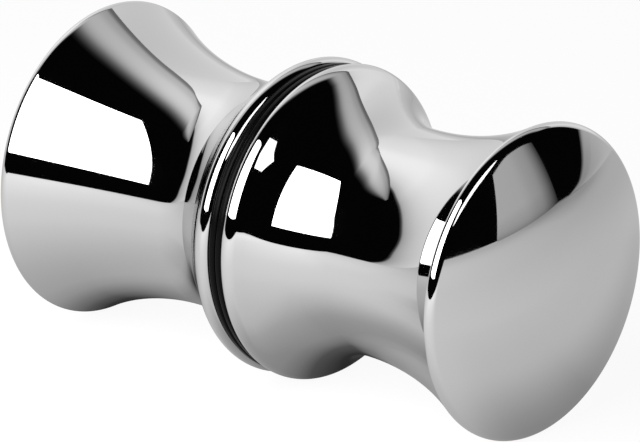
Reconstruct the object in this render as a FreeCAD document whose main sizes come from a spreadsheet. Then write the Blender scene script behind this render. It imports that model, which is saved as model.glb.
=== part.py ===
import FreeCAD, Part
import math
import os
import Sketcher
from FreeCAD import Placement, Rotation, Vector

# Shower door handle: two hourglass knobs, one on each face of a glass door, drawn together by a stud.
# Millimetres. The origin is the centre of the glass hole, midway between the two gaskets.
# The stud runs along Y, the room-side knob points to -Y, the shower-side knob to +Y, and +Z is up.

doc = FreeCAD.newDocument("shower_door_handle")
sheet = doc.addObject("Spreadsheet::Sheet", "Sizes")
X_AXIS = Vector(1, 0, 0)
SHEET_ROWS = []


def size(name, value):
    """Adds one driving dimension to the sheet, under its own name."""
    SHEET_ROWS.append(name)
    row = str(len(SHEET_ROWS))
    sheet.set("A" + row, name)
    sheet.set("B" + row, str(value))
    sheet.setAlias("B" + row, name)


# Knob outline, from the foot on the gasket to the crowned end
size("base_diameter", 32.0)
size("foot_edge_round", 0.78)
size("rim_round", 1.4)
size("waist_diameter", 23.3)
size("waist_height", 10.2)
size("foot_hollow_round", 10.9)
size("flare_round", 33.4)
size("end_diameter", 32.0)
size("end_edge_round", 0.8)
size("knob_projection", 30.6)

# Hole in the knob's foot: recess for the sleeve, tapped length, drilled length and drill point
size("recess_diameter", 10.4)
size("recess_depth", 3.0)
size("tap_chamfer", 0.4)
size("tapped_depth", 13.0)
size("drill_diameter", 5.0)
size("drill_depth", 15.5)
size("drill_point_angle", 118.0)

# Gasket
size("gasket_diameter", 31.3)
size("gasket_thickness", 0.8)
size("gasket_edge_round", 0.3)

# Sleeve in the glass hole
size("sleeve_diameter", 10.0)
size("sleeve_length", 7.0)
size("sleeve_chamfer", 0.3)

# Stud, a headless screw with a hexagon socket in one end
size("stud_diameter", 6.0)
size("stud_length", 25.0)
size("stud_chamfer", 0.6)
size("socket_width", 3.0)
size("socket_depth", 3.5)

doc.recompute()


def read(name):
    """One driving dimension as a number."""
    return float(getattr(sheet, name))


def new_body(label):
    body = doc.addObject("PartDesign::Body", label)
    body.Label = label
    return body


def new_sketch(body, plane, name):
    """A sketch on one of the body's own origin planes."""
    planes = [item for item in body.Origin.OriginFeatures if item.Role == plane]
    sketch = body.newObject("Sketcher::SketchObject", name)
    sketch.AttachmentSupport = [(planes[0], "")]
    sketch.MapMode = "FlatFace"
    return sketch


def drive(sketch, name, formula, *constraint):
    """Adds a dimension to a sketch and binds it to the sheet."""
    index = sketch.addConstraint(Sketcher.Constraint(*constraint))
    sketch.renameConstraint(index, name)
    sketch.setExpression("Constraints." + name, formula)


def line(sketch, start, end):
    return sketch.addGeometry(Part.LineSegment(Vector(*start, 0), Vector(*end, 0)), False)


def arc(sketch, centre, radius, start, end):
    """An arc drawn counter-clockwise between two angles in radians."""
    circle = Part.Circle(Vector(*centre, 0), Vector(0, 0, 1), radius)
    return sketch.addGeometry(Part.ArcOfCircle(circle, start, end), False)


def circle(sketch, radius):
    """A circle about the sketch's origin."""
    found = sketch.addGeometry(Part.Circle(Vector(0, 0, 0), Vector(0, 0, 1), radius), False)
    sketch.addConstraint(Sketcher.Constraint("Coincident", found, 3, -1, 1))
    return found


def polygon(sketch, points):
    """A closed loop of lines through the points, joined end to end."""
    count = len(points)
    sides = [line(sketch, points[i], points[(i + 1) % count]) for i in range(count)]
    for i in range(count):
        sketch.addConstraint(Sketcher.Constraint("Coincident", sides[i], 2, sides[(i + 1) % count], 1))
    return sides


def revolve(body, kind, sketch, name):
    """Turns a sketch about its own upright axis, adding or cutting."""
    feature = body.newObject(kind, name)
    feature.Profile = sketch
    feature.ReferenceAxis = (sketch, ["V_Axis"])
    feature.Angle = 360.0
    sketch.Visibility = False
    return feature


def pad(body, sketch, name, length):
    """Raises a sketch along the body's own Z by a length from the sheet."""
    feature = body.newObject("PartDesign::Pad", name)
    feature.Profile = sketch
    feature.setExpression("Length", length)
    return feature


def round_edges(feature, radius):
    """Names of the circular edges of one radius."""
    names = []
    for index, edge in enumerate(feature.Shape.Edges):
        if isinstance(edge.Curve, Part.Circle) and abs(edge.Curve.Radius - radius) < 1e-6:
            names.append("Edge" + str(index + 1))
    return names


def knob_outline(sketch):
    """Half outline of the knob: x is the radius, y the height above the foot.

    A flat foot, its edge round, the rim's larger round above it, a straight slope that touches both the rim
    and the hollow above it, the waist, the long hollow flare, the end's edge round and the crown.
    Each touches the next in one tangent, and the two rounds meet at the foot's full width.
    """
    base_r = read("base_diameter") / 2
    waist_r = read("waist_diameter") / 2
    end_r = read("end_diameter") / 2
    edge = read("foot_edge_round")
    rim = read("rim_round")
    hollow = read("foot_hollow_round")
    flare = read("flare_round")
    lip = read("end_edge_round")
    waist_y = read("waist_height")
    top_y = read("knob_projection")
    edge_x = base_r - edge
    rim_x = base_r - rim

    # The slope is the inner common tangent of the rim's and the hollow's circles.
    across = waist_r + hollow - rim_x
    up = waist_y - edge
    turn = math.atan2(up, across) - math.acos((rim + hollow) / math.hypot(across, up))
    slope_from = (rim_x + rim * math.cos(turn), edge + rim * math.sin(turn))
    slope_to = (waist_r + hollow - hollow * math.cos(turn), waist_y - hollow * math.sin(turn))

    # The lip's circle stands against the flare's circle, and the crown's circle holds it.
    lip_x = end_r - lip
    lean = math.acos((waist_r + flare - lip_x) / (flare + lip))
    lip_y = waist_y + (flare + lip) * math.sin(lean)
    rise = top_y - lip_y
    crown = (lip_x**2 + rise**2 - lip**2) / (2 * (rise - lip))
    crown_y = top_y - crown
    tip = math.atan2(lip_y - crown_y, lip_x)

    foot = line(sketch, (0, 0), (edge_x, 0))
    edge_arc = arc(sketch, (edge_x, edge), edge, -math.pi / 2, 0)
    rim_arc = arc(sketch, (rim_x, edge), rim, 0, turn)
    slope = line(sketch, slope_from, slope_to)
    hollow_arc = arc(sketch, (waist_r + hollow, waist_y), hollow, math.pi, math.pi + turn)
    flare_arc = arc(sketch, (waist_r + flare, waist_y), flare, math.pi - lean, math.pi)
    lip_arc = arc(sketch, (lip_x, lip_y), lip, -lean, tip)
    crown_arc = arc(sketch, (0, crown_y), crown, tip, math.pi / 2)
    axis = line(sketch, (0, top_y), (0, 0))

    sketch.addConstraint(Sketcher.Constraint("Coincident", foot, 1, -1, 1))
    sketch.addConstraint(Sketcher.Constraint("Horizontal", foot))
    sketch.addConstraint(Sketcher.Constraint("Tangent", foot, 2, edge_arc, 1))
    sketch.addConstraint(Sketcher.Constraint("Tangent", edge_arc, 2, rim_arc, 1))
    sketch.addConstraint(Sketcher.Constraint("Horizontal", edge_arc, 3, rim_arc, 3))
    sketch.addConstraint(Sketcher.Constraint("Tangent", rim_arc, 2, slope, 1))
    sketch.addConstraint(Sketcher.Constraint("Tangent", slope, 2, hollow_arc, 2))
    sketch.addConstraint(Sketcher.Constraint("Tangent", hollow_arc, 1, flare_arc, 2))
    sketch.addConstraint(Sketcher.Constraint("Horizontal", hollow_arc, 3, flare_arc, 3))
    sketch.addConstraint(Sketcher.Constraint("Tangent", flare_arc, 1, lip_arc, 1))
    sketch.addConstraint(Sketcher.Constraint("Tangent", lip_arc, 2, crown_arc, 1))
    sketch.addConstraint(Sketcher.Constraint("PointOnObject", crown_arc, 3, -2))
    sketch.addConstraint(Sketcher.Constraint("Coincident", crown_arc, 2, axis, 1))
    sketch.addConstraint(Sketcher.Constraint("Coincident", axis, 2, -1, 1))
    sketch.addConstraint(Sketcher.Constraint("Vertical", axis))

    drive(sketch, "edge", "Sizes.foot_edge_round", "Radius", edge_arc, edge)
    drive(sketch, "rim", "Sizes.rim_round", "Radius", rim_arc, rim)
    drive(sketch, "hollow", "Sizes.foot_hollow_round", "Radius", hollow_arc, hollow)
    drive(sketch, "flare", "Sizes.flare_round", "Radius", flare_arc, flare)
    drive(sketch, "lip", "Sizes.end_edge_round", "Radius", lip_arc, lip)
    drive(sketch, "rim_at", "Sizes.base_diameter / 2 - Sizes.rim_round", "DistanceX", -1, 1, rim_arc, 3, rim_x)
    drive(sketch, "waist_radius", "Sizes.waist_diameter / 2", "DistanceX", -1, 1, hollow_arc, 1, waist_r)
    drive(sketch, "waist_at", "Sizes.waist_height", "DistanceY", -1, 1, hollow_arc, 1, waist_y)
    drive(sketch, "lip_at", "Sizes.end_diameter / 2 - Sizes.end_edge_round", "DistanceX", -1, 1, lip_arc, 3, lip_x)
    drive(sketch, "projection", "Sizes.knob_projection", "DistanceY", -1, 1, crown_arc, 2, top_y)


def knob_hole(sketch):
    """Half outline of the hole in the foot: recess, chamfered mouth, tapped length, drilled length, point."""
    recess_r = read("recess_diameter") / 2
    recess_y = read("recess_depth")
    tap_r = read("stud_diameter") / 2
    tap_y = read("tapped_depth")
    chamfer = read("tap_chamfer")
    drill_r = read("drill_diameter") / 2
    drill_y = read("drill_depth")
    half_point = math.radians(read("drill_point_angle") / 2)
    point_y = drill_y + drill_r / math.tan(half_point)

    points = [(0, 0), (recess_r, 0), (recess_r, recess_y), (tap_r + chamfer, recess_y)]
    points += [(tap_r, recess_y + chamfer), (tap_r, tap_y), (drill_r, tap_y), (drill_r, drill_y), (0, point_y)]
    mouth, wall, floor, bevel, thread, step, drill, point, axis = polygon(sketch, points)

    sketch.addConstraint(Sketcher.Constraint("Coincident", mouth, 1, -1, 1))
    for level in (mouth, floor, step):
        sketch.addConstraint(Sketcher.Constraint("Horizontal", level))
    for upright in (wall, thread, drill, axis):
        sketch.addConstraint(Sketcher.Constraint("Vertical", upright))

    drive(sketch, "recess_radius", "Sizes.recess_diameter / 2", "DistanceX", -1, 1, wall, 1, recess_r)
    drive(sketch, "recess_at", "Sizes.recess_depth", "DistanceY", -1, 1, wall, 2, recess_y)
    drive(sketch, "bevel_across", "Sizes.tap_chamfer", "DistanceX", bevel, 2, bevel, 1, chamfer)
    drive(sketch, "bevel_up", "Sizes.tap_chamfer", "DistanceY", bevel, 1, bevel, 2, chamfer)
    drive(sketch, "tap_radius", "Sizes.stud_diameter / 2", "DistanceX", -1, 1, thread, 2, tap_r)
    drive(sketch, "tap_at", "Sizes.tapped_depth", "DistanceY", -1, 1, thread, 2, tap_y)
    drive(sketch, "drill_radius", "Sizes.drill_diameter / 2", "DistanceX", -1, 1, drill, 2, drill_r)
    drive(sketch, "drill_at", "Sizes.drill_depth", "DistanceY", -1, 1, drill, 2, drill_y)
    rise = "Sizes.drill_diameter / 2 / tan(Sizes.drill_point_angle / 2 * 1 deg)"
    drive(sketch, "point_rise", rise, "DistanceY", point, 1, point, 2, point_y - drill_y)


def knob(label, side):
    """A turned knob on one side of the door: side is -1 for the room and +1 for the shower."""
    body = new_body(label)
    outline = new_sketch(body, "XZ_Plane", label + "_outline")
    knob_outline(outline)
    turned = revolve(body, "PartDesign::Revolution", outline, label + "_turned")
    doc.recompute()
    whole = turned.Shape.Volume
    hole = new_sketch(body, "XZ_Plane", label + "_hole_outline")
    knob_hole(hole)
    bored = revolve(body, "PartDesign::Groove", hole, label + "_hole")
    doc.recompute()
    if bored.Shape.Volume > whole - 1:
        raise RuntimeError("the hole in " + label + " removed nothing")
    body.Placement = Placement(Vector(0, 0, 0), Rotation(X_AXIS, -90 * side))
    body.setExpression("Placement.Base.y", str(side) + " * Sizes.gasket_thickness")
    return body


def gasket(label, side):
    """A flat washer with softly rounded outer edges, between one knob's foot and the glass."""
    body = new_body(label)
    rings = new_sketch(body, "XY_Plane", label + "_rings")
    outer = circle(rings, read("gasket_diameter") / 2)
    inner = circle(rings, read("sleeve_diameter") / 2)
    drive(rings, "outer_radius", "Sizes.gasket_diameter / 2", "Radius", outer, read("gasket_diameter") / 2)
    drive(rings, "inner_radius", "Sizes.sleeve_diameter / 2", "Radius", inner, read("sleeve_diameter") / 2)
    disc = pad(body, rings, label + "_disc", "Sizes.gasket_thickness")
    doc.recompute()
    soft = body.newObject("PartDesign::Fillet", label + "_edges")
    soft.Base = (disc, round_edges(disc, read("gasket_diameter") / 2))
    soft.setExpression("Radius", "Sizes.gasket_edge_round")
    body.Placement = Placement(Vector(0, 0, 0), Rotation(X_AXIS, -90 * side))
    return body


def sleeve(label):
    """A plain tube pushed over the stud, chamfered at both ends."""
    body = new_body(label)
    rings = new_sketch(body, "XY_Plane", label + "_rings")
    outer = circle(rings, read("sleeve_diameter") / 2)
    inner = circle(rings, read("stud_diameter") / 2)
    drive(rings, "outer_radius", "Sizes.sleeve_diameter / 2", "Radius", outer, read("sleeve_diameter") / 2)
    drive(rings, "inner_radius", "Sizes.stud_diameter / 2", "Radius", inner, read("stud_diameter") / 2)
    tube = pad(body, rings, label + "_tube", "Sizes.sleeve_length")
    doc.recompute()
    ends = body.newObject("PartDesign::Chamfer", label + "_ends")
    ends.Base = (tube, round_edges(tube, read("sleeve_diameter") / 2))
    ends.setExpression("Size", "Sizes.sleeve_chamfer")
    body.Placement = Placement(Vector(0, 0, 0), Rotation(X_AXIS, -90))
    body.setExpression("Placement.Base.y", "-Sizes.sleeve_length / 2")
    return body


def stud(label):
    """A headless screw with chamfered ends and a hexagon socket in its shower-side end."""
    body = new_body(label)
    ring = new_sketch(body, "XY_Plane", label + "_ring")
    outer = circle(ring, read("stud_diameter") / 2)
    drive(ring, "outer_radius", "Sizes.stud_diameter / 2", "Radius", outer, read("stud_diameter") / 2)
    shank = pad(body, ring, label + "_shank", "Sizes.stud_length")
    doc.recompute()
    ends = body.newObject("PartDesign::Chamfer", label + "_ends")
    ends.Base = (shank, round_edges(shank, read("stud_diameter") / 2))
    ends.setExpression("Size", "Sizes.stud_chamfer")
    doc.recompute()
    whole = ends.Shape.Volume

    hexagon = new_sketch(body, "XY_Plane", label + "_hexagon")
    hexagon.setExpression("AttachmentOffset.Base.z", "Sizes.stud_length")
    corner = read("socket_width") / math.sqrt(3)
    turns = [math.radians(60 * step) for step in range(6)]
    sides = polygon(hexagon, [(corner * math.cos(turn), corner * math.sin(turn)) for turn in turns])
    guide = circle(hexagon, corner)
    hexagon.toggleConstruction(guide)
    for side in sides:
        hexagon.addConstraint(Sketcher.Constraint("PointOnObject", side, 1, guide))
    for side in sides[1:]:
        hexagon.addConstraint(Sketcher.Constraint("Equal", sides[0], side))
    hexagon.addConstraint(Sketcher.Constraint("PointOnObject", sides[0], 1, -1))
    drive(hexagon, "corner", "Sizes.socket_width / sqrt(3)", "Radius", guide, corner)
    socket = body.newObject("PartDesign::Pocket", label + "_socket")
    socket.Profile = hexagon
    socket.setExpression("Length", "Sizes.socket_depth")
    doc.recompute()
    if socket.Shape.Volume > whole - 1:
        raise RuntimeError("the socket in " + label + " removed nothing")
    body.Placement = Placement(Vector(0, 0, 0), Rotation(X_AXIS, -90))
    body.setExpression("Placement.Base.y", "-Sizes.stud_length / 2")
    return body


bodies = [
    knob("outer_knob", -1),
    knob("inner_knob", 1),
    gasket("outer_gasket", -1),
    gasket("inner_gasket", 1),
    stud("clamp_stud"),
    sleeve("hole_sleeve"),
]
doc.recompute()

# Nothing is written unless every feature and every solid is sound.
for item in doc.Objects:
    if "Invalid" in item.State or "Error" in item.State:
        raise RuntimeError(item.Name + " failed: " + str(item.State))
    if item.TypeId == "Sketcher::SketchObject" and not item.FullyConstrained:
        raise RuntimeError(item.Name + " is not fully constrained")

os.makedirs("parts", exist_ok=True)
for body in bodies:
    shape = body.Shape
    if shape.isNull() or not shape.isValid() or len(shape.Solids) != 1:
        raise RuntimeError(body.Label + " is not one sound solid")
    shape.exportStep("parts/" + body.Label + ".step")
    box = shape.optimalBoundingBox(False, False)
    low = "(%.2f %.2f %.2f)" % (box.XMin, box.YMin, box.ZMin)
    high = "(%.2f %.2f %.2f)" % (box.XMax, box.YMax, box.ZMax)
    print("%-14s %9.1f mm3  %s to %s" % (body.Label, shape.Volume, low, high))
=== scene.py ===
import math

import bpy
import numpy as np
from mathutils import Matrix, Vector


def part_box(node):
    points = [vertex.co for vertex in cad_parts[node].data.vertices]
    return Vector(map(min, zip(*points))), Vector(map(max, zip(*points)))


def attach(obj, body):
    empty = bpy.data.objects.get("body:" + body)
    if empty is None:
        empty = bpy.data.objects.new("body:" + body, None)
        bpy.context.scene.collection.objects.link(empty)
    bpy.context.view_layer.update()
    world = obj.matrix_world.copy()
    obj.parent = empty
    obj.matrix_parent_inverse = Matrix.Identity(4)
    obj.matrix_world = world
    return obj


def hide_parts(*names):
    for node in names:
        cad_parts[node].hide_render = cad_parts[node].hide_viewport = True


# Shower door handle: a pair of turned, chrome-plated hourglass knobs with rubber gaskets between their feet,
# a threaded stud and a nylon sleeve hidden inside. Metres; the stud runs along Y and +Z is up.

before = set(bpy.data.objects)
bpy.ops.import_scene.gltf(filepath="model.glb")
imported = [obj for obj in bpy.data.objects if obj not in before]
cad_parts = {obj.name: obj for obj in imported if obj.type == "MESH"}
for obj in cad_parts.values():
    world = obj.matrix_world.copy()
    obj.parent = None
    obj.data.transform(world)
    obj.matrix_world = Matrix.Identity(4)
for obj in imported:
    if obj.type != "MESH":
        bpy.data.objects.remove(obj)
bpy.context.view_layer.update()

MM = 0.001
ROOM_SIDE = -1
SHOWER_SIDE = 1
PICTURE_WIDTH = 640
PICTURE_HEIGHT = 442

# Sizes read from the frame
knob_low, knob_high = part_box("inner_knob")
gasket_low, gasket_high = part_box("inner_gasket")
_, sleeve_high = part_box("hole_sleeve")
_, stud_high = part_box("clamp_stud")
FOOT_AT = knob_low.y
PROJECTION = knob_high.y - knob_low.y
FOOT_RADIUS = knob_high.x
GASKET_RADIUS = gasket_high.x
GASKET_THICKNESS = gasket_high.y - gasket_low.y
SLEEVE_RADIUS = sleeve_high.x
SLEEVE_HALF = sleeve_high.y
STUD_RADIUS = stud_high.x
STUD_HALF = stud_high.y

# The knob's outline
FOOT_EDGE = 0.78 * MM
RIM = 1.4 * MM
WAIST_RADIUS = 11.65 * MM
WAIST_AT = 10.2 * MM
HOLLOW = 10.9 * MM
FLARE = 33.4 * MM
END_RADIUS = FOOT_RADIUS
LIP = 0.8 * MM

# The hole in the knob's foot
RECESS_RADIUS = 5.2 * MM
RECESS_DEPTH = 3.0 * MM
TAP_CHAMFER = 0.4 * MM
TAPPED_DEPTH = 13.0 * MM
DRILL_RADIUS = 2.5 * MM
DRILL_DEPTH = 15.5 * MM
DRILL_POINT = math.radians(118)

# Gasket, sleeve and stud. The thread's peak and slope are in shares of its depth, before crest and root are clipped.
GASKET_EDGE = 0.3 * MM
SLEEVE_CHAMFER = 0.3 * MM
STUD_CHAMFER = 0.6 * MM
STUD_END_MARGIN = 0.1 * MM
THREAD_PITCH = 1.0 * MM
THREAD_DEPTH = 0.613 * MM
THREAD_PEAK = 1.25
THREAD_SLOPE = 2.9
SOCKET_WIDTH = 3.0 * MM
SOCKET_DEPTH = 3.5 * MM
SOCKET_CONE = 0.6 * MM

# Fineness of the meshes
KNOB_COLUMNS = 240
SLEEVE_COLUMNS = 96
STUD_COLUMNS = 60
STUD_STEPS_PER_PITCH = 18
EDGE_STEPS = 40
RIM_STEPS = 48
CURVE_STEPS = 60
LIP_STEPS = 36
GASKET_STEPS = 10
MERGE_WITHIN = 0.0001 * MM
SHARP_ANGLE = math.radians(35)


def linear(hex_colour):
    """An sRGB hex colour as linear red, green, blue and alpha."""
    channels = [int(hex_colour[i : i + 2], 16) / 255 for i in (1, 3, 5)]
    return [c / 12.92 if c <= 0.04045 else ((c + 0.055) / 1.055) ** 2.4 for c in channels] + [1.0]


def add(tree, kind, settings=None, links=None):
    """Adds a node: settings go to its properties or sockets by name, links join its sockets to others' outputs."""
    node = tree.nodes.new(kind)
    for name, value in (settings or {}).items():
        if name in node.inputs:
            node.inputs[name].default_value = value
        else:
            setattr(node, name, value)
    for name, source in (links or {}).items():
        tree.links.new(source, node.inputs[name])
    return node


def new_material(name):
    """An empty node material and its tree."""
    material = bpy.data.materials.new(name)
    material.use_nodes = True
    material.node_tree.nodes.clear()
    return material, material.node_tree


# Shapes

def bend(centre, radius, start, end, count, hollow=False):
    """An arc of an outline as rows of (r, y, normal r, normal y): centre plus radius times (cos, sin) of the angle.

    The normal points away from the centre, or towards it where the metal is hollowed.
    """
    angle = np.linspace(start, end, count)
    ray = np.stack([np.cos(angle), np.sin(angle)], axis=1)
    return np.hstack([np.array(centre) + radius * ray, -ray if hollow else ray])


def run(start, end, count=2):
    """A straight part of an outline: equal steps from start to end, with the metal on the left of the travel."""
    step = np.linspace(0, 1, count)[:, None]
    start, end = np.array(start), np.array(end)
    along = (end - start) / np.linalg.norm(end - start)
    normal = np.array([along[1], -along[0]])
    return np.hstack([start + step * (end - start), np.tile(normal, (count, 1))])


def turned(name, runs, columns, side=SHOWER_SIDE):
    """Turns an outline about the Y axis: (r cos a, side * y, r sin a) for each outline point and each angle a.

    The outline starts and ends on the axis, or closes on itself to make a ring. Each run brings its own normals,
    so the shading is exact along curves and stays sharp where two runs meet at a corner.
    """
    outline = np.vstack([part[:-1] for part in runs] + [runs[-1][-1:]])
    first_normal = np.vstack([part[:-1, 2:] for part in runs])
    last_normal = np.vstack([part[1:, 2:] for part in runs])
    ring = np.allclose(outline[0, :2], outline[-1, :2])
    rows = len(outline) - 1 if ring else len(outline)
    angle = np.linspace(0, 2 * math.pi, columns, endpoint=False)
    radius, height = outline[:rows, :1], outline[:rows, 1:2]
    grid = np.stack([radius * np.cos(angle), side * height + 0 * angle, radius * np.sin(angle)], axis=2)

    row, column = np.meshgrid(np.arange(len(outline) - 1), np.arange(columns), indexing="ij")
    next_row, next_column = (row + 1) % rows, (column + 1) % columns
    corners = np.stack([row * columns + column, next_row * columns + column], axis=2)
    corners = np.dstack([corners, np.stack([next_row, row], axis=2) * columns + next_column[..., None]])
    quads = corners.reshape(-1, 4)

    def spread(normal, at):
        return np.stack(
            [normal[row, 0] * np.cos(at), side * normal[row, 1], normal[row, 0] * np.sin(at)], axis=2
        )

    here, there = angle[column], angle[next_column]
    corner_normals = [(first_normal, here), (last_normal, here), (last_normal, there), (first_normal, there)]
    normals = np.stack([spread(normal, at) for normal, at in corner_normals], axis=2).reshape(-1, 4, 3)
    return skin(name, grid.reshape(-1, 3), quads, normals)


def skin(name, points, quads, normals=None):
    """A closed mesh from points and quads: doubled points merge, flat slivers go, and the faces point outwards."""
    _, keep, merged = np.unique(np.round(points / MERGE_WITHIN), axis=0, return_index=True, return_inverse=True)
    points, quads = points[keep], merged.reshape(-1)[quads]
    a, b, c, d = (points[quads[:, i]] for i in range(4))
    volume = np.einsum("ij,ij->i", a, np.cross(b, c) + np.cross(c, d)).sum()
    if volume < 0:
        quads = quads[:, ::-1]
        normals = None if normals is None else normals[:, ::-1]
    following = np.roll(quads, -1, axis=1)
    used = quads != following
    counts = used.sum(axis=1)
    whole = counts >= 3
    used &= whole[:, None]
    counts = counts[whole]

    mesh = bpy.data.meshes.new(name)
    mesh.vertices.add(len(points))
    mesh.vertices.foreach_set("co", points.astype(np.float32).ravel())
    mesh.loops.add(int(counts.sum()))
    mesh.loops.foreach_set("vertex_index", quads[used].astype(np.int32))
    mesh.polygons.add(len(counts))
    mesh.polygons.foreach_set("loop_start", np.concatenate([[0], np.cumsum(counts)[:-1]]).astype(np.int32))
    mesh.update(calc_edges=True)
    mesh.validate()
    mesh.shade_smooth()
    if normals is not None:
        mesh.normals_split_custom_set(normals[used].tolist())
    piece = bpy.data.objects.new(name, mesh)
    bpy.context.collection.objects.link(piece)
    return piece


def knob_outline():
    """The knob's whole outline, r against height above the foot: from the drill point out over the foot to the crown.

    The foot's edge round and the rim's larger round meet at the foot's full width. The slope is the inner common
    tangent of the rim's and the hollow's circles. The lip's circle stands against the flare's circle, and the
    crown's circle, centred on the axis, holds it.
    """
    rim_r = FOOT_RADIUS - RIM
    edge_r = FOOT_RADIUS - FOOT_EDGE
    across = WAIST_RADIUS + HOLLOW - rim_r
    up = WAIST_AT - FOOT_EDGE
    turn = math.atan2(up, across) - math.acos((RIM + HOLLOW) / math.hypot(across, up))
    lip_r = END_RADIUS - LIP
    lean = math.acos((WAIST_RADIUS + FLARE - lip_r) / (FLARE + LIP))
    lip_at = WAIST_AT + (FLARE + LIP) * math.sin(lean)
    rise = PROJECTION - lip_at
    crown = (lip_r**2 + rise**2 - LIP**2) / (2 * (rise - LIP))
    tip = math.atan2(lip_at - PROJECTION + crown, lip_r)
    point_at = DRILL_DEPTH + DRILL_RADIUS / math.tan(DRILL_POINT / 2)

    rim = bend((rim_r, FOOT_EDGE), RIM, 0, turn, RIM_STEPS)
    hollow_at = (WAIST_RADIUS + HOLLOW, WAIST_AT)
    hollow = bend(hollow_at, HOLLOW, math.pi + turn, math.pi, CURVE_STEPS, hollow=True)
    return [
        run((0, point_at), (DRILL_RADIUS, DRILL_DEPTH)),
        run((DRILL_RADIUS, DRILL_DEPTH), (DRILL_RADIUS, TAPPED_DEPTH)),
        run((DRILL_RADIUS, TAPPED_DEPTH), (STUD_RADIUS, TAPPED_DEPTH)),
        run((STUD_RADIUS, TAPPED_DEPTH), (STUD_RADIUS, RECESS_DEPTH + TAP_CHAMFER), count=6),
        run((STUD_RADIUS, RECESS_DEPTH + TAP_CHAMFER), (STUD_RADIUS + TAP_CHAMFER, RECESS_DEPTH)),
        run((STUD_RADIUS + TAP_CHAMFER, RECESS_DEPTH), (RECESS_RADIUS, RECESS_DEPTH)),
        run((RECESS_RADIUS, RECESS_DEPTH), (RECESS_RADIUS, 0)),
        run((RECESS_RADIUS, 0), (edge_r, 0), count=4),
        bend((edge_r, FOOT_EDGE), FOOT_EDGE, -math.pi / 2, 0, EDGE_STEPS),
        rim,
        run(rim[-1, :2], hollow[0, :2], count=4),
        hollow,
        bend((WAIST_RADIUS + FLARE, WAIST_AT), FLARE, math.pi, math.pi - lean, CURVE_STEPS, hollow=True),
        bend((lip_r, lip_at), LIP, -lean, tip, LIP_STEPS),
        bend((0, PROJECTION - crown), crown, tip, math.pi / 2, CURVE_STEPS),
    ]


def knob(name, side):
    """A knob on one side of the door, its foot one gasket away from the middle."""
    parts = [part + np.array([0, FOOT_AT, 0, 0]) for part in knob_outline()]
    return turned(name, parts, KNOB_COLUMNS, side)


def gasket(name, side):
    """A washer: a ring-shaped outline with two softly rounded outer edges."""
    inner, outer, edge, thick = SLEEVE_RADIUS, GASKET_RADIUS, GASKET_EDGE, GASKET_THICKNESS
    parts = [
        run((inner, thick), (inner, 0)),
        run((inner, 0), (outer - edge, 0), count=8),
        bend((outer - edge, edge), edge, -math.pi / 2, 0, GASKET_STEPS),
        run((outer, edge), (outer, thick - edge), count=4),
        bend((outer - edge, thick - edge), edge, 0, math.pi / 2, GASKET_STEPS),
        run((outer - edge, thick), (inner, thick), count=8),
    ]
    return turned(name, parts, KNOB_COLUMNS, side)


def sleeve(name):
    """A tube about the stud with chamfered outer ends."""
    inner, outer, half, cut = STUD_RADIUS, SLEEVE_RADIUS, SLEEVE_HALF, SLEEVE_CHAMFER
    parts = [
        run((inner, half), (inner, -half), count=6),
        run((inner, -half), (outer - cut, -half)),
        run((outer - cut, -half), (outer, -half + cut)),
        run((outer, -half + cut), (outer, half - cut), count=6),
        run((outer, half - cut), (outer - cut, half)),
        run((outer - cut, half), (inner, half)),
    ]
    return turned(name, parts, SLEEVE_COLUMNS)


def stud(name):
    """A threaded stud with a hexagon socket: r(a, y) is a wave of one pitch that climbs with the angle a.

    The wave is clipped flat at crest and root and shrinks inside each end's chamfer. The socket is the same grid
    carried on into the end: at each angle its wall stands where a hexagon's side is.
    """
    columns = STUD_COLUMNS
    rows = int(round(2 * STUD_HALF / THREAD_PITCH)) * STUD_STEPS_PER_PITCH + 1
    angle = np.linspace(0, 2 * math.pi, columns, endpoint=False)
    y = np.linspace(-STUD_HALF, STUD_HALF, rows)[:, None]
    phase = (y / THREAD_PITCH - angle / (2 * math.pi)) % 1.0
    ridge = np.clip(THREAD_PEAK - THREAD_SLOPE * np.abs(phase - 0.5), 0, 1)
    radius = STUD_RADIUS - THREAD_DEPTH * (1 - ridge)
    end_radius = STUD_RADIUS - STUD_CHAMFER - STUD_END_MARGIN
    radius = np.minimum(radius, end_radius + (STUD_HALF - np.abs(y)))
    shell = np.stack([radius * np.cos(angle), y + 0 * angle, radius * np.sin(angle)], axis=2)

    sector = (angle + math.pi / 6) % (math.pi / 3) - math.pi / 6
    wall = SOCKET_WIDTH / 2 / np.cos(sector)
    hexagon = np.stack([wall * np.cos(angle), wall * np.sin(angle)], axis=1)
    mouth = np.insert(hexagon, 1, STUD_HALF, axis=1)[None]
    bottom = np.insert(hexagon, 1, STUD_HALF - SOCKET_DEPTH, axis=1)[None]
    cone = bottom * 0 + np.array([0, STUD_HALF - SOCKET_DEPTH - SOCKET_CONE, 0])
    near_end = shell[:1] * 0 + np.array([0, -STUD_HALF, 0])
    grid = np.concatenate([near_end, shell, mouth, bottom, cone])

    row, column = np.meshgrid(np.arange(len(grid) - 1), np.arange(columns), indexing="ij")
    after = (column + 1) % columns
    here, there = row * columns, (row + 1) * columns
    quads = np.stack([here + column, there + column, there + after, here + after], axis=2)
    piece = skin(name, grid.reshape(-1, 3), quads.reshape(-1, 4))
    piece.data.set_sharp_from_angle(angle=SHARP_ANGLE)
    return piece


# Materials

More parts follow.
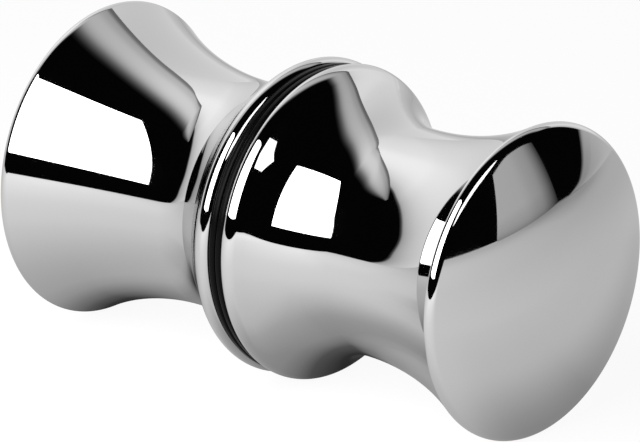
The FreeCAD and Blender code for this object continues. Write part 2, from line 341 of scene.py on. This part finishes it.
def chrome_plate():
    """Decorative chrome on polished brass: a near-perfect neutral grey mirror, with the slight waviness
    that buffing leaves and a fine haze in places that dulls the gloss a little."""
    material, tree = new_material("chrome_plate_polished")
    place = {"Vector": add(tree, "ShaderNodeTexCoord").outputs["Object"]}
    wave_width = 9.0 * MM
    haze_width = 4.0 * MM
    waves = add(tree, "ShaderNodeTexNoise", {"Scale": 1 / wave_width, "Detail": 1.0}, place)
    bump = add(tree, "ShaderNodeBump", {"Strength": 0.02, "Distance": 0.1 * MM}, {"Height": waves.outputs["Fac"]})
    haze = add(tree, "ShaderNodeTexNoise", {"Scale": 1 / haze_width, "Detail": 4.0}, place)
    gloss = add(
        tree,
        "ShaderNodeMapRange",
        {"From Min": 0.3, "From Max": 0.75, "To Min": 0.01, "To Max": 0.04},
        {"Value": haze.outputs["Fac"]},
    )
    shader = add(
        tree,
        "ShaderNodeBsdfPrincipled",
        {"Base Color": linear("#C7C7C7"), "Metallic": 1.0},
        {"Roughness": gloss.outputs["Result"], "Normal": bump.outputs["Normal"]},
    )
    add(tree, "ShaderNodeOutputMaterial", links={"Surface": shader.outputs["BSDF"]})
    return material


def black_rubber():
    """Moulded EPDM rubber: deep black with a soft, faint sheen, a slight bloom and the fine grain of its mould."""
    material, tree = new_material("moulded_black_rubber")
    place = {"Vector": add(tree, "ShaderNodeTexCoord").outputs["Object"]}
    grain_width = 0.25 * MM
    bloom_width = 5.0 * MM
    grain = add(tree, "ShaderNodeTexNoise", {"Scale": 1 / grain_width, "Detail": 3.0}, place)
    bump = add(tree, "ShaderNodeBump", {"Strength": 0.15, "Distance": 0.05 * MM}, {"Height": grain.outputs["Fac"]})
    bloom = add(tree, "ShaderNodeTexNoise", {"Scale": 1 / bloom_width, "Detail": 2.0}, place)
    tone = add(
        tree,
        "ShaderNodeMix",
        {"data_type": "RGBA", "A": linear("#030303"), "B": linear("#070707")},
        {"Factor": bloom.outputs["Fac"]},
    )
    shader = add(
        tree,
        "ShaderNodeBsdfPrincipled",
        {"Roughness": 0.28, "IOR": 1.5, "Specular IOR Level": 0.07},
        {"Base Color": tone.outputs["Result"], "Normal": bump.outputs["Normal"]},
    )
    add(tree, "ShaderNodeOutputMaterial", links={"Surface": shader.outputs["BSDF"]})
    return material


def zinc_steel():
    """Zinc-plated steel: a pale, slightly blue metal with a fine crystalline dullness."""
    material, tree = new_material("bright_zinc_steel")
    place = {"Vector": add(tree, "ShaderNodeTexCoord").outputs["Object"]}
    crystal_width = 0.4 * MM
    crystal = add(tree, "ShaderNodeTexNoise", {"Scale": 1 / crystal_width, "Detail": 3.0}, place)
    gloss = add(tree, "ShaderNodeMapRange", {"To Min": 0.22, "To Max": 0.4}, {"Value": crystal.outputs["Fac"]})
    shader = add(
        tree,
        "ShaderNodeBsdfPrincipled",
        {"Base Color": linear("#BFC3C6"), "Metallic": 1.0},
        {"Roughness": gloss.outputs["Result"]},
    )
    add(tree, "ShaderNodeOutputMaterial", links={"Surface": shader.outputs["BSDF"]})
    return material


def natural_nylon():
    """Natural nylon: milky off-white, waxy, with light going a little way in."""
    material, tree = new_material("natural_nylon")
    place = {"Vector": add(tree, "ShaderNodeTexCoord").outputs["Object"]}
    cloud_width = 2.0 * MM
    milk = add(tree, "ShaderNodeTexNoise", {"Scale": 1 / cloud_width, "Detail": 2.0}, place)
    tone = add(
        tree,
        "ShaderNodeMix",
        {"data_type": "RGBA", "A": linear("#E4DFD2"), "B": linear("#EFEBE1")},
        {"Factor": milk.outputs["Fac"]},
    )
    shader = add(
        tree,
        "ShaderNodeBsdfPrincipled",
        {"Roughness": 0.45, "IOR": 1.53},
        {"Base Color": tone.outputs["Result"]},
    )
    add(tree, "ShaderNodeOutputMaterial", links={"Surface": shader.outputs["BSDF"]})
    return material


def place_piece(piece, material, node):
    """Gives a piece its finish, sets it on the one body and puts it in its solid's place."""
    piece.data.materials.append(material)
    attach(piece, "root")
    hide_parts(node)


chrome = chrome_plate()
rubber = black_rubber()
place_piece(knob("outer_knob_turned", ROOM_SIDE), chrome, "outer_knob")
place_piece(knob("inner_knob_turned", SHOWER_SIDE), chrome, "inner_knob")
place_piece(gasket("outer_gasket_ring", ROOM_SIDE), rubber, "outer_gasket")
place_piece(gasket("inner_gasket_ring", SHOWER_SIDE), rubber, "inner_gasket")
place_piece(stud("clamp_stud_threaded"), zinc_steel(), "clamp_stud")
place_piece(sleeve("hole_sleeve_tube"), natural_nylon(), "hole_sleeve")


# Studio

# Places in millimetres. The table, glowing with painted light and painted shadows, is seen in reflections, the paper
# just above it only by the camera.
TABLE_AT = -16.05
TABLE_LEFT, TABLE_RIGHT, TABLE_FRONT = -295, 275, -285
PAPER_AT = -16.02
PAPER_HALF = 900
FOOT_OF_WALLS = -16
TOP_OF_WALLS = 420
BACK_WALL_AT = 243
RIGHT_WALL_AT = 268
FRONT_AT = -275
STRIP_AT = 170
SHEET_ROWS = 24
FRONT_LIGHT_STRENGTH = 2.4


def glow(name, along, across=((0, 1), (1, 1)), shadows=()):
    """A glowing sheet of painted light: its strength is a smooth curve along U times a smooth curve across, along V.

    Each shadow is a painted shadow, another such pair of curves, whose product is the share of light that it takes
    away.
    """
    material, tree = new_material(name)
    place = add(tree, "ShaderNodeTexCoord")
    way = add(tree, "ShaderNodeSeparateXYZ", links={"Vector": place.outputs["UV"]})
    strength = None
    for pair in [(along, across), *shadows]:
        factors = {}
        for index, spots in enumerate(pair):
            curve = add(tree, "ShaderNodeFloatCurve", links={"Value": way.outputs["XY"[index]]})
            curve.mapping.use_clip = False
            points = curve.mapping.curves[0].points
            points[0].location, points[1].location = spots[0], spots[-1]
            for spot in spots[1:-1]:
                points.new(*spot)
            for point in points:
                point.handle_type = "AUTO_CLAMPED"
            curve.mapping.update()
            factors[index] = curve.outputs["Value"]
        product = add(tree, "ShaderNodeMath", {"operation": "MULTIPLY"}, factors)
        if strength is not None:
            taken = {"Value": product.outputs["Value"]}
            left = add(tree, "ShaderNodeMapRange", {"To Min": 1.0, "To Max": 0.0}, taken)
            factors = {0: strength, 1: left.outputs["Result"]}
            product = add(tree, "ShaderNodeMath", {"operation": "MULTIPLY"}, factors)
        strength = product.outputs["Value"]
    shader = add(tree, "ShaderNodeEmission", {"Color": linear("#FFFFFF")}, {"Strength": strength})
    add(tree, "ShaderNodeOutputMaterial", links={"Surface": shader.outputs["Emission"]})
    return material


def sheet(name, near, far, material, steps=1):
    """A stage sheet ruled between two edges given in millimetres: U runs along the edges, V from near to far.

    Each edge is a cubic curve through its points, whose slope at a point is half the step between its
    neighbours. The sheet is seen only in reflections.
    """
    edges = []
    for points in (near, far):
        points = np.array(points, float)
        at = np.linspace(0, len(points) - 1, (len(points) - 1) * steps + 1)
        low = np.minimum(at.astype(int), len(points) - 2)
        t = (at - low)[:, None]
        padded = np.vstack([2 * points[0] - points[1], points, 2 * points[-1] - points[-2]])
        a, b, c, d = (padded[low + i] for i in range(4))
        second = a - 2.5 * b + 2 * c - d / 2
        third = 1.5 * (b - c) + (d - a) / 2
        edges.append(b + t * (c - a) / 2 + t**2 * second + t**3 * third)
    rows = SHEET_ROWS if steps > 1 else 1
    v = np.linspace(0, 1, rows + 1)[:, None, None]
    grid = (1 - v) * edges[0] + v * edges[1]
    columns = grid.shape[1]
    u = np.tile(np.linspace(0, 1, columns), (rows + 1, 1))
    row, column = (k.ravel() for k in np.meshgrid(np.arange(rows), np.arange(columns - 1), indexing="ij"))
    corner = row * columns + column
    quads = np.stack([corner, corner + 1, corner + columns + 1, corner + columns], axis=1)
    mesh = bpy.data.meshes.new(name)
    mesh.from_pydata((grid.reshape(-1, 3) * MM).tolist(), [], quads.tolist())
    uv = np.stack([u.ravel(), np.tile(v.reshape(-1, 1), (1, columns)).ravel()], axis=1)[quads.ravel()]
    mesh.uv_layers.new(name="sheet").data.foreach_set("uv", uv.astype(np.float32).ravel())
    mesh.materials.append(material)
    piece = bpy.data.objects.new(name, mesh)
    bpy.context.collection.objects.link(piece)
    piece.visible_camera = False
    piece.visible_diffuse = False
    return piece


def light_box(name, centre, width, height, azimuth, tilt, radiance):
    """A flat rectangular light in millimetres that faces the handle: its top leans over by the tilt in degrees."""
    lamp = bpy.data.lights.new(name, "AREA")
    lamp.shape = "RECTANGLE"
    lamp.size, lamp.size_y = width * MM, height * MM
    lamp.energy = radiance * math.pi * lamp.size * lamp.size_y
    box = bpy.data.objects.new(name, lamp)
    bpy.context.collection.objects.link(box)
    box.location = Vector(centre) * MM
    away, tilt = math.radians(azimuth), math.radians(tilt)
    facing = Vector((-math.sin(away) * math.cos(tilt), math.cos(away) * math.cos(tilt), -math.sin(tilt)))
    box.rotation_mode = "QUATERNION"
    box.rotation_quaternion = facing.to_track_quat("-Z", "Y")
    box.visible_camera = False


# Table top: glows with painted light, bright on the side of the main light, and painted shadows dim it towards the
# right and under the handle
room_end_shadow = (
    [
        (0, 0), (0.439, 0), (0.465, 0.08), (0.482, 0.22), (0.5, 0.45), (0.505, 0.62), (0.509, 0.8), (0.514, 0.92),
        (0.521, 0.97), (0.531, 0.97), (0.544, 0.85), (0.57, 0.6), (0.623, 0.25), (0.693, 0), (1, 0),
    ],
    [
        (0, 0), (0.407, 0), (0.43, 0.05), (0.45, 0.11), (0.46, 0.14), (0.466, 0.2), (0.474, 0.35), (0.481, 0.52),
        (0.485, 0.6), (0.502, 0.66), (0.523, 0.62), (0.5265, 0.4), (0.53, 0.12), (0.534, 0), (1, 0),
    ],
)
foot_shadow = (
    [
        (0, 0), (0.447, 0), (0.465, 0.05), (0.475, 0.15), (0.481, 0.23), (0.487, 0.35), (0.492, 0.46), (0.498, 0.53),
        (0.5035, 0.59), (0.507, 0.68), (0.51, 0.85), (0.513, 0.91), (0.5175, 0.95), (0.521, 0.97), (0.531, 0.97),
        (0.544, 0.85), (0.57, 0.6), (0.623, 0.25), (0.693, 0), (1, 0),
    ],
    [
        (0, 0), (0.521, 0), (0.523, 0.1), (0.5246, 0.28), (0.5265, 0.55), (0.5285, 0.78), (0.53, 0.9), (0.534, 1),
        (0.539, 0.93), (0.5435, 0.83), (0.553, 0.56), (0.5625, 0.35), (0.57, 0.2), (0.578, 0.05), (0.587, 0), (1, 0),
    ],
)
shower_end_shadow = (
    [
        (0, 0), (0.447, 0), (0.465, 0.05), (0.4825, 0.18), (0.4895, 0.26), (0.495, 0.32), (0.5, 0.38), (0.5045, 0.53),
        (0.507, 0.66), (0.5105, 0.84), (0.515, 0.94), (0.5175, 0.97), (0.531, 0.97), (0.544, 0.85), (0.57, 0.6),
        (0.623, 0.25), (0.693, 0), (1, 0),
    ],
    [
        (0, 0), (0.555, 0), (0.5625, 0.2), (0.57, 0.45), (0.574, 0.66), (0.578, 0.74), (0.5815, 0.85), (0.585, 0.96),
        (0.589, 1), (0.593, 1), (0.616, 0.5), (0.653, 0.1), (0.672, 0), (1, 0),
    ],
)
front_corner_shadow = (
    [
        (0, 0), (0.73, 0), (0.78, 0.08), (0.81, 0.15), (0.84, 0.21), (0.875, 0.28), (0.91, 0.33), (0.96, 0.34),
        (1, 0.34),
    ],
    [(0, 1), (0.2, 1), (0.26, 0.8), (0.3, 0.45), (0.33, 0.23), (0.36, 0.07), (0.39, 0), (1, 0)],
)
wall_foot_shadow = (
    [(0, 0), (0.95, 0), (0.97, 0.17), (1, 0.5)],
    [(0, 1), (0.17, 1), (0.2, 0.6), (0.23, 0), (1, 0)],
)
table = glow(
    "table_painted_light",
    [
        (0, 1.2), (0.17, 1.35), (0.34, 1.25), (0.43, 1.08), (0.52, 0.9), (0.66, 0.74), (0.8, 0.655), (0.93, 0.655),
        (1, 0.7),
    ],
    [
        (0, 0.885), (0.07, 0.915), (0.136, 1.01), (0.195, 1.055), (0.27, 1.035), (0.35, 1), (0.55, 1.02),
        (0.616, 0.965), (0.65, 0.94), (0.723, 0.88), (0.777, 0.83), (0.824, 0.8), (0.9, 0.74), (1, 0.66),
    ],
    shadows=[room_end_shadow, foot_shadow, shower_end_shadow, front_corner_shadow, wall_foot_shadow],
)
sheet(
    "table_top",
    [(TABLE_LEFT, TABLE_FRONT, TABLE_AT), (TABLE_RIGHT, TABLE_FRONT, TABLE_AT)],
    [(TABLE_LEFT, BACK_WALL_AT, TABLE_AT), (TABLE_RIGHT, BACK_WALL_AT, TABLE_AT)],
    table,
)

# The pale floor that the camera sees, lit by itself so that it stays even
pale_material, tree = new_material("pale_table_paper")
paper = add(tree, "ShaderNodeBsdfDiffuse", {"Color": linear("#5A5A5A")})
lit = add(tree, "ShaderNodeEmission", {"Color": linear("#F8F8F8"), "Strength": 1.0})
mixed = add(tree, "ShaderNodeAddShader", links={0: paper.outputs["BSDF"], 1: lit.outputs["Emission"]})
add(tree, "ShaderNodeOutputMaterial", links={"Surface": mixed.outputs["Shader"]})
pale = sheet(
    "table_paper",
    [(-PAPER_HALF, -PAPER_HALF, PAPER_AT), (PAPER_HALF, -PAPER_HALF, PAPER_AT)],
    [(-PAPER_HALF, PAPER_HALF, PAPER_AT), (PAPER_HALF, PAPER_HALF, PAPER_AT)],
    pale_material,
)
pale.visible_camera = True
pale.visible_glossy = False
pale.visible_shadow = False

# White walls on the far side, a grey card in front and a graduated strip overhead: glowing sheets whose gradients are
# painted light and painted shade
back_wall = glow(
    "back_wall_painted_light",
    [(0, 0.72), (0.18, 0.73), (0.27, 0.75), (0.36, 0.79), (0.45, 0.85), (0.545, 0.92), (0.636, 0.98), (1, 1)],
    [
        (0, 0), (0.015, 0.1), (0.04, 0.7), (0.08, 0.92), (0.2, 1.26), (0.32, 1.42), (0.42, 1.45), (0.64, 1.27),
        (0.86, 1.13), (1, 1),
    ],
)
wall_left = [
    (-185, FOOT_OF_WALLS), (-152, -8), (-132, 3), (-119, 20), (-96, 50), (-83, 85), (-67, 130), (-57, 160),
    (-46, 184), (-37, 212), (-26, 260), (-10, TOP_OF_WALLS),
]
sheet(
    "back_wall",
    [(x, BACK_WALL_AT, z) for x, z in wall_left],
    [(RIGHT_WALL_AT, BACK_WALL_AT, z) for x, z in wall_left],
    back_wall,
    steps=6,
)
# A painted shadow low down at the front end of the right wall
wall_corner_shadow = (
    [(0, 1), (0.3, 1), (0.45, 0.75), (0.55, 0.4), (0.65, 0.1), (0.75, 0), (1, 0)],
    [
        (0, 0), (0.02, 0), (0.035, 0.1), (0.05, 0.2), (0.07, 0.18), (0.09, 0.08), (0.13, 0.04), (0.21, 0.03),
        (0.3, 0), (1, 0),
    ],
)
right_wall = glow(
    "right_wall_painted_light",
    [
        (0, 0.62), (0.125, 0.635), (0.25, 0.67), (0.375, 0.72), (0.5, 0.785), (0.625, 0.85), (0.75, 0.93),
        (0.875, 0.99), (1, 1),
    ],
    [
        (0, 0), (0.012, 0.25), (0.03, 0.66), (0.06, 0.86), (0.11, 0.92), (0.29, 1.18), (0.44, 1.04), (0.7, 0.9),
        (0.85, 0.93), (1, 1),
    ],
    shadows=[wall_corner_shadow],
)
wall_front = [
    (-240, FOOT_OF_WALLS), (-206, -11), (-191, -4), (-181, 5), (-173, 17), (-166, 31), (-162, 42), (-160, 60),
    (-160, TOP_OF_WALLS),
]
sheet(
    "right_wall",
    [(RIGHT_WALL_AT, y, z) for y, z in wall_front],
    [(RIGHT_WALL_AT, BACK_WALL_AT, z) for y, z in wall_front],
    right_wall,
    steps=6,
)
# The card's glow is painted light, fading towards its right end, with painted shade near its foot
card = glow(
    "card_painted_light",
    [
        (0, 0.64), (0.3, 0.62), (0.43, 0.6), (0.57, 0.525), (0.71, 0.45), (0.81, 0.32), (0.88, 0.22), (0.95, 0.115),
        (1, 0.05),
    ],
    [(0, 0.5), (0.04, 0.67), (0.1, 0.8), (0.2, 0.9), (0.35, 1), (1, 1)],
)
card_foot = [104, 145, 187, 228, 270]
card_top = [(118, 59), (142, 69), (165, 74), (200, 76), (231, 74)]
sheet(
    "front_card",
    [(x, FRONT_AT, FOOT_OF_WALLS) for x in card_foot],
    [(x, FRONT_AT, z) for x, z in card_top],
    card,
    steps=4,
)

# The strip's glow is painted light, fading towards its ends and front edge, with a painted darker line near its back
# edge
strip = glow(
    "strip_painted_light",
    [(0, 0.55), (0.4, 0.76), (0.68, 1.06), (0.85, 0.85), (1, 0.3)],
    [
        (0, 0), (0.06, 0.03), (0.4, 0.97), (0.5, 1), (0.72, 0.8), (0.8, 0.72), (0.86, 0.5), (0.905, 0.33),
        (0.95, 0.27), (1, 0.33),
    ],
)
strip_front = [
    (190, -160), (150, -120), (105, -75), (55, -35), (12, 5), (-8, 45),
    (-28, 85), (-42, 110), (-62, 138), (-80, 165), (-86, 195), (-82, 238),
]
strip_back = [
    (290, -140), (243, -93), (215, -48), (180, -6), (153, 32), (133, 62),
    (113, 90), (101, 112), (84, 127), (46, 138), (-2, 176), (-71, 241),
]
sheet(
    "overhead_strip",
    [(x, y, STRIP_AT) for x, y in strip_front],
    [(x, y, STRIP_AT) for x, y in strip_back],
    strip,
    steps=8,
)

# Main light at the left, and a second one in front
light_box(
    "left_light_box",
    centre=(-152.2, 11.1, 129.8),
    width=219,
    height=203,
    azimuth=-94.1,
    tilt=17.3,
    radiance=5.0,
)
front_low = [(-146, 166), (-88, 128), (-26, 104), (36, 80), (98, 63)]
front_high = [(-150, 252), (-105, 247), (-62, 254), (20, 248), (98, 234)]
sheet(
    "front_light",
    [(x, FRONT_AT, z) for x, z in front_low],
    [(x, FRONT_AT, z) for x, z in front_high],
    glow("front_light_cloth", [(0, FRONT_LIGHT_STRENGTH), (1, FRONT_LIGHT_STRENGTH)]),
    steps=4,
)

# Dark room round the table
world = bpy.data.worlds.new("studio")
world.use_nodes = True
tree = world.node_tree
tree.nodes.clear()
dark = add(tree, "ShaderNodeBackground", {"Color": linear("#060606"), "Strength": 1.0})
add(tree, "ShaderNodeOutputWorld", links={"Surface": dark.outputs["Background"]})
bpy.context.scene.world = world
bpy.context.scene.view_settings.view_transform = "Standard"

# Camera: a long lens, from the room side and the left, a little above
AZIMUTH = math.radians(-48.95)
ELEVATION = math.radians(19.91)
DISTANCE = 1094.2 * MM
LENS_PIXELS = 11044.3
SENSOR_WIDTH = 36
NEAREST, FARTHEST = 0.01, 20
ORIGIN_SEEN_AT = (318.40, 218.08)
level = math.cos(ELEVATION)
back = Vector((math.sin(AZIMUTH) * level, -math.cos(AZIMUTH) * level, math.sin(ELEVATION)))
right = Vector((math.cos(AZIMUTH), math.sin(AZIMUTH), 0))
above = back.cross(right)
metre_per_pixel = DISTANCE / LENS_PIXELS
lens = bpy.data.cameras.new("long_lens")
lens.sensor_fit = "HORIZONTAL"
lens.sensor_width = SENSOR_WIDTH
lens.lens = LENS_PIXELS / PICTURE_WIDTH * SENSOR_WIDTH
lens.clip_start, lens.clip_end = NEAREST, FARTHEST
camera = bpy.data.objects.new("camera", lens)
bpy.context.collection.objects.link(camera)
camera.location = (
    back * DISTANCE
    - right * (ORIGIN_SEEN_AT[0] - PICTURE_WIDTH / 2) * metre_per_pixel
    + above * (ORIGIN_SEEN_AT[1] - PICTURE_HEIGHT / 2) * metre_per_pixel
)
camera.rotation_mode = "QUATERNION"
camera.rotation_quaternion = (-back).to_track_quat("-Z", "Y")
bpy.context.scene.camera = camera
